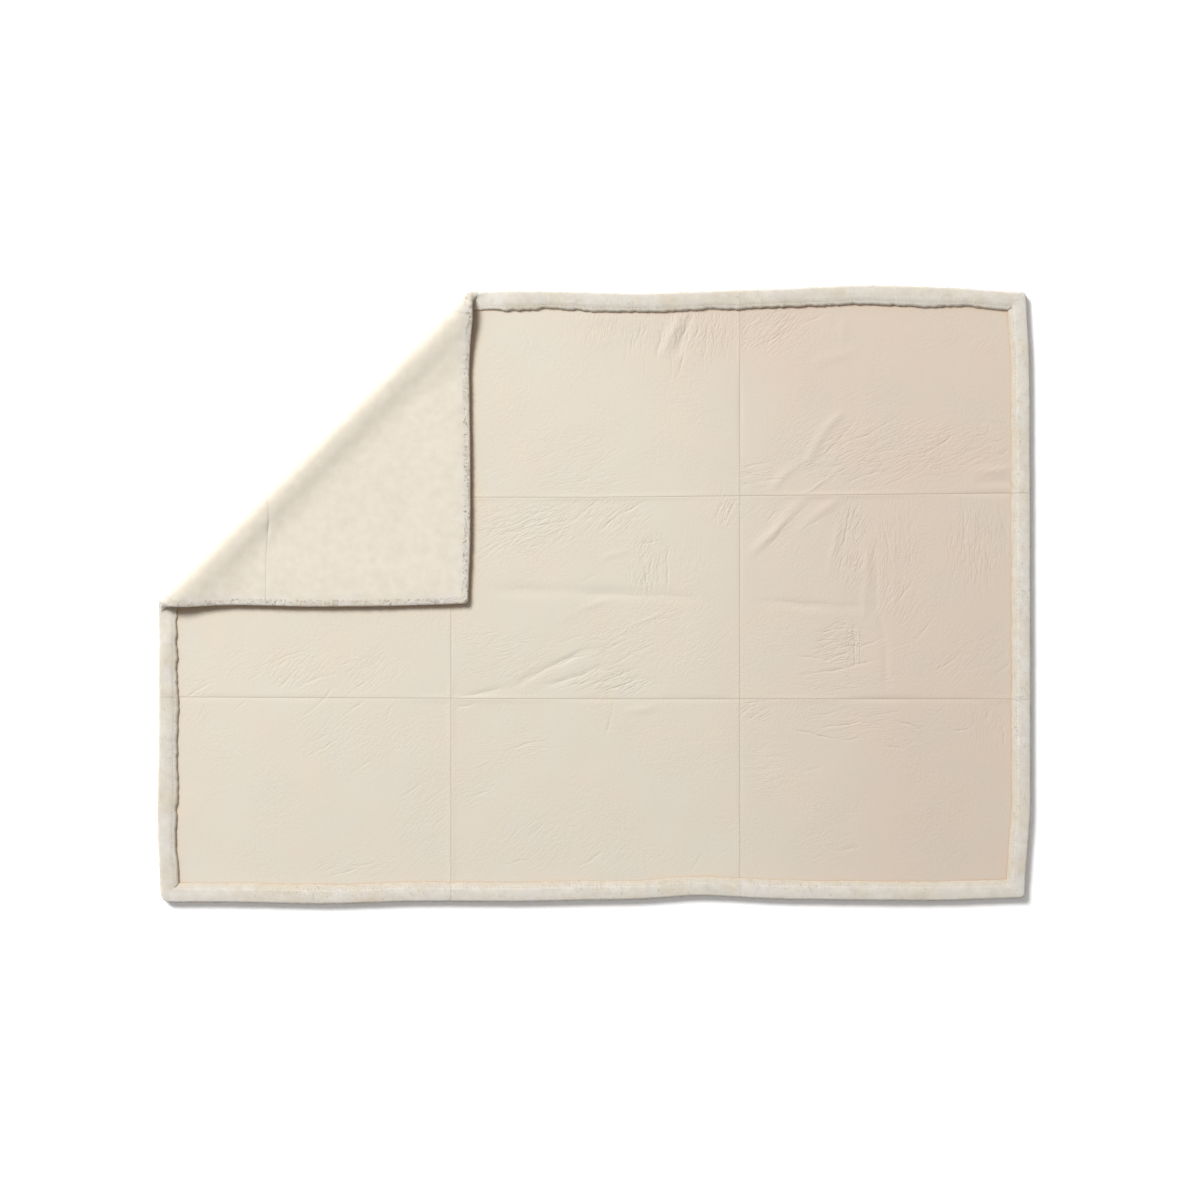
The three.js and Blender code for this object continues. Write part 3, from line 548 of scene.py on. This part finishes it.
def sheared_wool(name, depth, glow):
    """Sheared, combed lambswool: matt and soft, light passes a few millimetres into it. It is cream near the
    raw lip and whiter on the roll, with fine streaks across the turned edge. Painted shade darkens it near
    the raw lip on the right and the bottom, and makes it darker and warmer where other cloth is near. Depth
    is how much of its light is scattered inside, and glow how much passes right through."""
    material, tree, output = new_material(name)
    place = add_node(tree, "ShaderNodeTexCoord").outputs["Object"]
    comb = add_node(tree, "ShaderNodeUVMap", {"uv_map": "comb"}).outputs["UV"]
    over = add_node(tree, "ShaderNodeSeparateXYZ", inputs={"Vector": comb}).outputs["Y"]
    over_edge = math_node(tree, "MULTIPLY", over, 10.0)
    on_hem = ramp(tree, over_edge, [(0.7, (1, 1, 1, 1)), (0.95, (0, 0, 0, 1))])
    clump = add_node(tree, "ShaderNodeTexNoise", inputs={"Vector": place, "Scale": 60, "Detail": 4})
    cream = ramp(tree, clump.outputs["Fac"], [(0.3, linear("D5CEC1")), (0.65, linear("DBD4C8"))])
    white = ramp(tree, clump.outputs["Fac"], [(0.3, linear("D1CCC5")), (0.65, linear("D8D4CD"))])
    from_lip = ramp(tree, over_edge, [
        (0.03, (0, 0, 0, 1)), (0.14, (1, 1, 1, 1)), (0.72, (1, 1, 1, 1)), (0.95, (0, 0, 0, 1)),
    ])
    colour = mix_colour(tree, "MIX", from_lip, cream, white)
    stain = add_node(tree, "ShaderNodeTexNoise", inputs={"Vector": place, "Scale": 22, "Detail": 3})
    stained = ramp(tree, stain.outputs["Fac"], [(0.4, (1, 1, 1, 1)), (0.7, linear("FBF7EF"))])
    colour = mix_colour(tree, "MULTIPLY", on_hem, colour, stained)
    # Painted shade: the wool near the raw lip on the right and the bottom, where it slopes towards the
    # light, is darkened
    colour = mix_colour(tree, "MIX", attribute(tree, "lit_lip_painted_shade"), colour, linear("BDB2A2"))
    # Painted shade: darker and warmer where other cloth is near, as at the slit under the raw lip and along
    # the flap's edge
    colour = with_painted_shade(tree, colour, "EED2AC", 0.04, 0.15, 0.6)
    combed = add_node(tree, "ShaderNodeMapping", inputs={"Vector": comb, "Scale": (420, 70, 1)})
    streak = add_node(tree, "ShaderNodeTexNoise", inputs={
        "Vector": combed.outputs["Vector"], "Scale": 1.0, "Detail": 3, "Distortion": 0.8,
    })
    fibre = add_node(tree, "ShaderNodeTexNoise", inputs={"Vector": place, "Scale": 380, "Detail": 3})
    streaks = math_node(tree, "MULTIPLY", streak.outputs["Fac"], on_hem)
    height = math_node(tree, "MULTIPLY_ADD", fibre.outputs["Fac"], 0.35, streaks)
    bump = add_node(tree, "ShaderNodeBump", inputs={"Strength": 0.3, "Distance": 0.0014, "Height": height})
    shader = add_node(tree, "ShaderNodeBsdfPrincipled", inputs={
        "Base Color": colour, "Roughness": 0.95, "IOR": 1.5, "Specular IOR Level": 0.1,
        "Diffuse Roughness": 1.0,
        "Subsurface Weight": depth, "Subsurface Radius": (1.0, 0.85, 0.7), "Subsurface Scale": 0.0045,
        "Sheen Weight": 0.05, "Sheen Roughness": 0.6, "Normal": bump.outputs["Normal"],
    })
    through = add_node(tree, "ShaderNodeBsdfTranslucent", inputs={
        "Color": colour, "Normal": bump.outputs["Normal"],
    })
    blend = add_node(tree, "ShaderNodeMixShader", inputs={
        0: glow, 1: shader.outputs["BSDF"], 2: through.outputs["BSDF"],
    })
    tree.links.new(blend.outputs["Shader"], output.inputs["Surface"])
    return material


# The panels: each sheepskin is one closed sheet, made flat as a grid of the skin side with the wool side
# drawn down from it, then shaped round the turned edge, creased and laid. Butted seams join the panels.
skin_material = buffed_sheepskin()
wool_material = sheared_wool("sheared_wool", depth=0.6, glow=0.0)
broad_creases = [row for row in creases if row[5] > broad_crease]
narrow_creases = [row for row in creases if row[5] < broad_crease]
wool_dents = [(-700, 198.5, -745, 198.5, 0, 6, 1.8)]
leather_section, wool_section = turned_edge()
wool_arc = np.concatenate([[0], np.cumsum(np.hypot(*np.diff(wool_section, axis=0).T))])
hem_wave, pile_wave = 0.9, 0.5
hem_seam_dip, wool_seam_dip = 0.2, 0.3
raw_edge_wander = [(0.011, 5.0), (0.035, 2.4), (0.1, 2.2)]
lip_wander = [(0.009, 1.0), (0.03, 0.6)]
pile_lumps = [(0.03, 1.0), (0.09, 0.8), (0.22, 0.5)]
# How dark the seams are, and how much browner the slit under the raw lip is: partly its raw edge's colour,
# partly painted shade
seam_shade, slit_edge_and_shade = 0.15, 0.05
panel_x = [-throw_length / 2, *column_seams, throw_length / 2]
panel_y = [throw_width / 2, *row_seams, -throw_width / 2]

# The four sides of the throw by number, which also sets how the raw edge wanders along each of them: it
# strays less on the right and the bottom, and not at all near the corners
right_side, left_side, top_side, bottom_side = 0, 2, 5, 7
calm_wander = 0.4
calm_corner, free_corner = 45, 110

# Grid spacing of each panel: fine where the photo shows many creases, and on the fold
panel_cells = {
    "panel_top_left": 4.6, "panel_top_middle": 3.6, "panel_top_right": 3.8,
    "panel_middle_left": 4.2, "panel_centre": 3.4, "panel_middle_right": 3.6,
    "panel_bottom_left": 4.8, "panel_bottom_middle": 4.8, "panel_bottom_right": 4.8,
}
seam_lines = np.array([0.7, 1.6, 3.2])


def grid_lines(low, high, low_outer, high_outer, spacing):
    """The lines across a panel: where each lies, its step round a turned edge, and the way in from there."""
    inner_low = low + edge_reach if low_outer else low
    inner_high = high - edge_reach if high_outer else high
    count = round((inner_high - inner_low) / spacing)
    inner = np.linspace(inner_low, inner_high, count + 1)
    if not low_outer:
        inner = np.concatenate([inner[:1], low + seam_lines, inner[2:]])
    if not high_outer:
        inner = np.concatenate([inner[:-2], high - seam_lines[::-1], inner[-1:]])
    low_steps = np.arange(edge_steps) if low_outer else np.arange(0)
    high_steps = np.arange(edge_steps)[::-1] if high_outer else np.arange(0)
    places = np.concatenate([np.full(len(low_steps), low), inner, np.full(len(high_steps), high)])
    steps = np.concatenate([low_steps, np.full(len(inner), edge_steps), high_steps])
    ways = np.concatenate([np.ones(len(low_steps)), np.zeros(len(inner)), -np.ones(len(high_steps))])
    return places, steps, ways


def flat_grid(columns, rows):
    """A closed flat sheet with one vertex column for each line, its skin side and its wool side."""
    mesh = bmesh.new()
    bmesh.ops.create_grid(mesh, x_segments=columns - 1, y_segments=rows - 1, size=1)
    drawn = bmesh.ops.extrude_face_region(mesh, geom=mesh.faces[:])["geom"]
    below = [part for part in drawn if isinstance(part, bmesh.types.BMVert)]
    bmesh.ops.translate(mesh, verts=below, vec=(0, 0, -1))
    bmesh.ops.recalc_face_normals(mesh, faces=mesh.faces[:])
    # The rim's faces come in another order each run, so they are sorted by place, after all the others
    mesh.faces.index_update()
    rim = [face for face in mesh.faces if abs(face.normal.z) < 0.5]
    rim.sort(key=lambda face: tuple(face.calc_center_median()))
    order = {face: len(mesh.faces) + place for place, face in enumerate(rim)}
    mesh.faces.sort(key=lambda face: order.get(face, face.index))
    for face in mesh.faces:
        face.smooth = True
    return mesh


def hem_wander(along, side):
    """How far the raw edge strays from its line along one side of the throw."""
    half = (throw_width if side in (right_side, left_side) else throw_length) / 2
    near_corner = smooth(half - np.abs(along), calm_corner, free_corner)
    stray = swell(along, along * 0, raw_edge_wander, 3.7 + 5 * side)
    return stray * (calm_wander if side in (right_side, bottom_side) else 1) * near_corner


def seam_height(away):
    """The skin beside a butted seam stands up a little and then turns down into it."""
    return 0.15 * np.exp(-(((away - 3.0) / 1.6) ** 2)) - 0.25 * np.exp(-((away / 1.0) ** 2))


def panel_shape(at, columns, rows, seams):
    """Where each vertex of a panel's grid lies in the flat throw, and the shades that its finish reads."""
    places_x, steps_x, ways_x = columns
    places_y, steps_y, ways_y = rows
    i = np.rint((at[:, 0] + 1) / 2 * (len(places_x) - 1)).astype(int)
    j = np.rint((at[:, 1] + 1) / 2 * (len(places_y) - 1)).astype(int)
    is_wool = at[:, 2] < -0.5
    step_x, step_y = steps_x[i], steps_y[j]
    way_x, way_y = ways_x[i], ways_y[j]
    ring = np.minimum(step_x, step_y)
    on_edge = ring < edge_steps
    on_side = (step_x == ring) & on_edge
    on_end = (step_y == ring) & on_edge
    section = np.where(is_wool[:, None], wool_section[ring], leather_section[ring])
    along = np.where(on_side, places_y[j], places_x[i])
    on_x = np.where(way_x < 0, right_side, left_side)
    on_y = np.where(way_y < 0, top_side, bottom_side)
    which = np.where(on_side, on_x, on_y)

    # The raw edge wanders, and the roll is plumper in some places than in others
    wander = np.zeros(len(at))
    for value in np.unique(which[on_edge]):
        chosen = on_edge & (which == value)
        wander[chosen] = hem_wander(along[chosen], value)
    turn = edge_rise / 2
    in_top = np.clip((section[:, 0] - turn) / (edge_width - turn), 0, 1) * (ring <= top_steps)
    inward = np.clip(section[:, 0] + wander * in_top * on_edge, 0, None)
    height = section[:, 1]

    # The lip of the raw edge is firm in some places and lies soft against the skin in others, more so along
    # the right and the bottom
    firm = 0.55 + 0.7 * swell(along, 60 * which, lip_wander, 2.2)
    firm = np.clip(firm, 0.15, 1) * np.where((way_x > 0) & on_side | (way_y < 0) & on_end, 1, 0.35)
    lit_lip = (way_x < 0) & on_side | (way_y > 0) & on_end
    soft = (1 - firm) * np.clip(1 - ring / np.where(lit_lip, 5, 3), 0, 1) * is_wool
    height = height - soft * (height - cloth - edge_slit - 0.7)

    def spread(step, place, way):
        share = (edge_steps - step) / np.maximum(edge_steps - ring, 1)
        hem_inward = edge_reach - share * (edge_reach - inward)
        return np.where(step == edge_steps, place, place + way * hem_inward)

    x = spread(step_x, places_x[i], way_x)
    y = spread(step_y, places_y[j], way_y)

    # The pile is a little lumpy: its surface is drawn towards the middle of the cloth
    lump = 0.5 + 0.5 * swell(x + height, y - height, pile_lumps, 8.1)
    angle = np.clip((ring - top_steps) / turn_steps, 0, 1) * math.pi
    away = np.full(len(x), 1e3)
    for level, value in seams:
        away = np.minimum(away, np.abs((y if level else x) - value))
    lump = np.clip(lump, 0, 1) * np.where(on_edge, hem_wave, pile_wave)
    lump = (lump + hem_seam_dip * np.exp(-((away / 2.2) ** 2)) * on_edge) * is_wool
    height = height - lump * np.where(on_edge, np.cos(angle), -1)
    shrink = lump * np.sin(angle) * on_edge
    x = x + np.where(on_side, way_x, 0) * shrink
    y = y + np.where(on_end, way_y, 0) * shrink

    # The skin's creases, and its edges rounded down into the seams
    base = ring > top_steps + turn_steps
    rise = crease_height(x, y, broad_creases) + swell(x, y, swell_sizes, 1.3)
    from_outside = np.minimum(throw_length / 2 - np.abs(x), throw_width / 2 - np.abs(y))
    rise = rise * (0.6 + 0.4 * smooth(from_outside, edge_width - 6, 60)) * smooth(away, 0, 9)
    height = height + np.where(base & ~is_wool, rise + seam_height(away), 0)
    dip = wool_seam_dip * np.exp(-((away / 2.5) ** 2)) + crease_height(x, y, wool_dents)
    height = height + np.where(base & is_wool, dip, 0)
    for level, value in seams:
        line = y if level else x
        middle = places_y.mean() if level else places_x.mean()
        shifted = np.where(np.abs(line - value) < 1e-6, line + seam_gap / 2 * np.sign(middle - value), line)
        x, y = (x, shifted) if level else (shifted, y)
    seam_tint = seam_shade * np.exp(-((away / 0.9) ** 2))
    # The slit's leather and the skin just beside the raw lip are tinted browner: partly the raw edge's own
    # colour, partly painted shade where the lip shades the skin
    beside_slit = 1 - smooth(from_outside, edge_width, edge_width + 3)
    slit_colour_and_shade = slit_edge_and_shade * np.where(ring <= top_steps + 4, 1.0, beside_slit)
    shades = {
        "seam": np.maximum(seam_tint, slit_colour_and_shade) * ~is_wool,
        # Painted shade on the lips of the right and the bottom, fading over five rings
        "lit_lip_painted_shade": np.clip(1 - ring / 5, 0, 1) * lit_lip * is_wool,
        # Pinker towards the right and along the top, and darker there as painted shade for the light falling
        # off
        "pink_and_painted_shade": smooth(x + 0.1 * y + 0.8 * np.clip(y - 330, 0, None), 80, 700),
    }
    for index, strength in enumerate(wrinkle_strength(x, y)):
        shades[f"wrinkle_{index}"] = strength * smooth(away, 0, 4)
    for index, (aside, crease) in enumerate(zip(*crease_shades(x, y, narrow_creases))):
        shades[f"aside_{index}"] = aside
        shades[f"height_{index}"] = crease * smooth(away, 0, 4) * (ring > top_steps)
    return (x, y, height), is_wool, shades, (i, j, ring)


def comb_places(corners, columns, rows, where):
    """Along and across the turned edge in metres for each corner of each face, with clean mitres."""
    places_x, steps_x, _ = columns
    places_y, steps_y, _ = rows
    i, j, ring = (part[corners] for part in where)
    on_side = (steps_x[i].mean(1) < steps_y[j].mean(1))[:, None]
    along = np.where(on_side, places_y[j], places_x[i])
    return np.stack([along, wool_arc[ring]], 2) * 0.001


def make_panel(name, row, column):
    """One panel, from its flat grid to its place in the laid throw."""
    spacing = panel_cells[name] * 1
    columns = grid_lines(panel_x[column], panel_x[column + 1], column == 0, column == 2, spacing)
    rows = grid_lines(panel_y[row + 1], panel_y[row], row == 2, row == 0, spacing)
    seams = [(False, column_seams[k]) for k in (column - 1, column) if 0 <= k < 2]
    seams += [(True, row_seams[k]) for k in (row - 1, row) if 0 <= k < 2]
    mesh = flat_grid(len(columns[0]), len(rows[0]))
    data = bpy.data.meshes.new(name + "_sheepskin")
    mesh.to_mesh(data)
    mesh.free()
    at = np.empty(len(data.vertices) * 3, np.float32)
    data.vertices.foreach_get("co", at)
    flat, is_wool, shades, where = panel_shape(at.reshape(-1, 3), columns, rows, seams)
    data.vertices.foreach_set("co", (lay(*flat) * 0.001).ravel())
    for shade, values in shades.items():
        data.attributes.new(shade, "FLOAT", "POINT").data.foreach_set("value", values)
    corners = np.empty(len(data.loops), np.int32)
    data.loops.foreach_get("vertex_index", corners)
    corners = corners.reshape(-1, 4)
    comb = comb_places(corners, columns, rows, where)
    data.uv_layers.new(name="comb").data.foreach_set("uv", comb.ravel())
    data.polygons.foreach_set("material_index", is_wool[corners].any(1).astype(np.int32))
    data.materials.append(skin_material)
    data.materials.append(wool_material)
    data.update()
    panel = bpy.data.objects.new(data.name, data)
    bpy.context.collection.objects.link(panel)
    return panel


panels = {}
for row in range(3):
    for column in range(3):
        name = "panel_centre" if row == column == 1 else f"panel_{row_names[row]}_{column_names[column]}"
        panel = make_panel(name, row, column)
        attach(panel, "root")
        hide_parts(name)
        panels[name] = panel


# The pile's tips: combed tufts of a few fibres that stand out of the wool on the roll of the turned edge,
# so that it is streaked across and its outline is fuzzy. They are small closed spikes rooted in the pile.
tip_material = sheared_wool("wool_tips", depth=0.0, glow=0.45)

# Fine tufts lie over the whole turned edge, coarse clumps stand out round its turn, where they notch the
# outline, and short ones fringe the raw lip: how many to a square metre, their lengths, half widths and
# rises, and how far over the edge they grow
tuft_kinds = [
    # density, shortest, longest, thinnest, thickest, least rise, most rise, from, to, in metres
    (40000, 0.003, 0.006, 0.0003, 0.0005, 0.02, 0.16, 0, 0.075),
    (75000, 0.003, 0.0055, 0.0004, 0.0008, 0.15, 0.8, 0.05, 0.076),
    (50000, 0.002, 0.0035, 0.0003, 0.0006, 0.05, 0.4, 0, 0.006),
]
steepest_under, lowest_root, lowest_tip, root_depth = -0.4, 0.003, 0.0006, 0.0008
stray_sideways = 0.45
tuft_comb = 0.04
first_seed = 40


def make_tufts(name, panel, rng):
    """Tufts over the wool of one panel's turned edge that can be seen from above or from the side."""
    mesh = panel.data
    places = np.empty(len(mesh.vertices) * 3, np.float32)
    mesh.vertices.foreach_get("co", places)
    places = places.reshape(-1, 3)
    corners = np.empty(len(mesh.loops), np.int32)
    mesh.loops.foreach_get("vertex_index", corners)
    comb = np.empty(len(mesh.loops) * 2, np.float32)
    mesh.uv_layers["comb"].data.foreach_get("uv", comb)
    is_wool = np.empty(len(mesh.polygons), np.int32)
    mesh.polygons.foreach_get("material_index", is_wool)
    a, b, c, d = np.moveaxis(places[corners.reshape(-1, 4)], 1, 0)
    over = comb.reshape(-1, 4, 2)[:, :, 1]
    normals = np.cross(c - a, d - b)
    areas = np.linalg.norm(normals, axis=1) / 2
    normals /= np.maximum(2 * areas, 1e-12)[:, None]
    middle = (a + b + c + d) / 4
    shown = (is_wool == 1) & (normals[:, 2] > steepest_under) & (middle[:, 2] > lowest_root)
    points = []
    for density, shortest, longest, thinnest, thickest, least_rise, most_rise, start, end in tuft_kinds:
        chance = areas * shown * (over.mean(1) > start) * (over.mean(1) < end)
        count = int(chance.sum() * density)
        if count == 0:
            continue
        picked = rng.choice(len(areas), count, p=chance / chance.sum())
        s, t = rng.random((2, count, 1))
        at = [corner[picked] for corner in (a, b, c, d)]
        roots = (1 - s) * ((1 - t) * at[0] + t * at[3]) + s * ((1 - t) * at[1] + t * at[2])
        up = normals[picked]
        rise_ab = (over[:, 1] + over[:, 2] - over[:, 0] - over[:, 3])[picked, None]
        rise_ad = (over[:, 3] + over[:, 2] - over[:, 0] - over[:, 1])[picked, None]
        outward = (at[1] + at[2] - at[0] - at[3]) * rise_ab + (at[3] + at[2] - at[0] - at[1]) * rise_ad
        outward += np.cross(up, outward) * rng.normal(0, stray_sideways, (count, 1))
        outward /= np.maximum(np.linalg.norm(outward, axis=1), 1e-12)[:, None]
        lift = rng.uniform(least_rise, most_rise, (count, 1))
        length = rng.uniform(shortest, longest, (count, 1))
        width = rng.uniform(thinnest, thickest, (count, 1))
        side = np.cross(up, outward)
        tips = roots + (outward * np.sqrt(1 - lift**2) + up * lift) * length
        tips[:, 2] = np.maximum(tips[:, 2], lowest_tip)
        sink = roots - up * root_depth
        feet = [sink + side * width, sink - side * width, sink + up * 1.6 * width]
        points.append(np.stack([tips, *feet], 1).reshape(-1, 3))
    if not points:
        return None
    points = np.concatenate(points)
    count = len(points) // 4
    spike = np.array([[0, 1, 2], [0, 2, 3], [0, 3, 1], [3, 2, 1]])
    faces = (spike[None] + 4 * np.arange(count)[:, None, None]).reshape(-1, 3)
    data = bpy.data.meshes.new(name)
    data.from_pydata(points.tolist(), [], faces.tolist())
    data.polygons.foreach_set("use_smooth", np.ones(len(faces), bool))
    comb_at = np.stack([points[::4, 0], np.full(count, tuft_comb)], 1)
    data.uv_layers.new(name="comb").data.foreach_set("uv", np.repeat(comb_at, 12, 0).ravel())
    data.materials.append(tip_material)
    tufts = bpy.data.objects.new(name, data)
    bpy.context.collection.objects.link(tufts)
    return tufts


# Each panel is a sheet cut from one hide, with its own tufts on it
for index, (name, panel) in enumerate(panels.items()):
    row, column = divmod(index, 3)
    tufts = make_tufts(name.replace("panel", "pile"), panel, np.random.default_rng(first_seed + index))
    if tufts:
        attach(tufts, "root")


# The topstitch: one row of thread stitches, 9 mm outside the raw edge, that holds the turned edge down.
# Each stitch is a short length of thread that sinks into the wool at both ends.
stitch_pitch = 8.0
stitch_length = 5.6
stitch_width = 0.8
stitch_height = 22.0
stitch_margin = 4
stitch_wander = 0.66


def sewing_thread():
    """Matt cream sewing thread, a little darker than the wool, so that it shows as a dotted line."""
    material, tree, output = new_material("sewing_thread")
    shader = add_node(tree, "ShaderNodeBsdfPrincipled", inputs={
        "Base Color": linear("C6BAA7"), "Roughness": 0.85, "IOR": 1.5, "Specular IOR Level": 0.2,
    })
    tree.links.new(shader.outputs["BSDF"], output.inputs["Surface"])
    return material


def make_topstitch():
    """All the stitches as one piece, laid with the cloth."""
    one = bmesh.new()
    bmesh.ops.create_uvsphere(one, u_segments=6, v_segments=5, radius=stitch_width / 2)
    bmesh.ops.rotate(one, verts=one.verts[:], matrix=Matrix.Rotation(math.pi / 2, 3, "Y"))
    bmesh.ops.scale(one, verts=one.verts[:], vec=(stitch_length / stitch_width, 1, 1))
    shape = np.array([vertex.co for vertex in one.verts])
    one.verts.index_update()
    faces = [[vertex.index for vertex in face.verts] for face in one.faces]
    one.free()
    points, polygons = [], []
    for long_side, sign, side in [
        (True, 1, top_side), (True, -1, bottom_side), (False, 1, right_side), (False, -1, left_side),
    ]:
        reach = (throw_length if long_side else throw_width) / 2 - stitch_inset
        last = reach - stitch_margin
        for centre in np.linspace(-last, last, round(2 * reach / stitch_pitch)):
            stray = hem_wander(np.array([centre]), side)[0] * stitch_wander
            depth = (throw_width if long_side else throw_length) / 2 - stitch_inset - stray
            along = centre + shape[:, 0]
            across = sign * (depth + shape[:, 1])
            flat = (along, across) if long_side else (across, along)
            polygons += [[len(points) * len(shape) + corner for corner in face] for face in faces]
            points.append(lay(*flat, stitch_height + shape[:, 2]) * 0.001)
    data = bpy.data.meshes.new("hem_topstitch")
    data.from_pydata(np.concatenate(points).tolist(), [], polygons)
    data.materials.append(sewing_thread())
    thread = bpy.data.objects.new(data.name, data)
    bpy.context.collection.objects.link(thread)
    return thread


topstitch = make_topstitch()
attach(topstitch, "root")


# The floor is a plain white sweep, the key light a large softbox to the upper left, and the camera looks
# straight down from high above, as the photo does.
floor_half = 6
floor_mesh = bmesh.new()
bmesh.ops.create_grid(floor_mesh, x_segments=1, y_segments=1, size=floor_half)
floor_data = bpy.data.meshes.new("floor")
floor_mesh.to_mesh(floor_data)
floor_mesh.free()
floor_material, floor_tree, floor_output = new_material("white_sweep")
floor_shader = add_node(floor_tree, "ShaderNodeBsdfPrincipled", inputs={
    "Base Color": linear("FFFFFF"), "Roughness": 1.0, "Specular IOR Level": 0.0,
    "Emission Color": linear("FFFFFF"), "Emission Strength": 0.07,
})
floor_tree.links.new(floor_shader.outputs["BSDF"], floor_output.inputs["Surface"])
floor_data.materials.append(floor_material)
floor = bpy.data.objects.new("floor", floor_data)
bpy.context.collection.objects.link(floor)

world = bpy.data.worlds.new("studio")
bpy.context.scene.world = world
world.use_nodes = True
world.node_tree.nodes["Background"].inputs["Color"].default_value = (1, 1, 1, 1)
world.node_tree.nodes["Background"].inputs["Strength"].default_value = 0.32

key_data = bpy.data.lights.new("key_softbox", "AREA")
key_data.shape = "SQUARE"
key_data.size = 3.6
key_data.energy = 1468
key_data.color = (1.0, 0.995, 0.98)
key = bpy.data.objects.new("key_softbox", key_data)
key.location = (-4.6, 5.47, 8.08)
key.rotation_euler = (-key.location).to_track_quat("-Z", "Y").to_euler()
bpy.context.collection.objects.link(key)

view_width = 2.453
camera_height = 6.0
camera_data = bpy.data.cameras.new("camera")
camera_data.sensor_width = 36
camera_data.lens = 36 * (camera_height - cloth * 0.001) / view_width
camera = bpy.data.objects.new("camera", camera_data)
camera.location = (0.0143, -0.0112, camera_height)
bpy.context.collection.objects.link(camera)
bpy.context.scene.camera = camera
bpy.context.scene.view_settings.view_transform = "Standard"
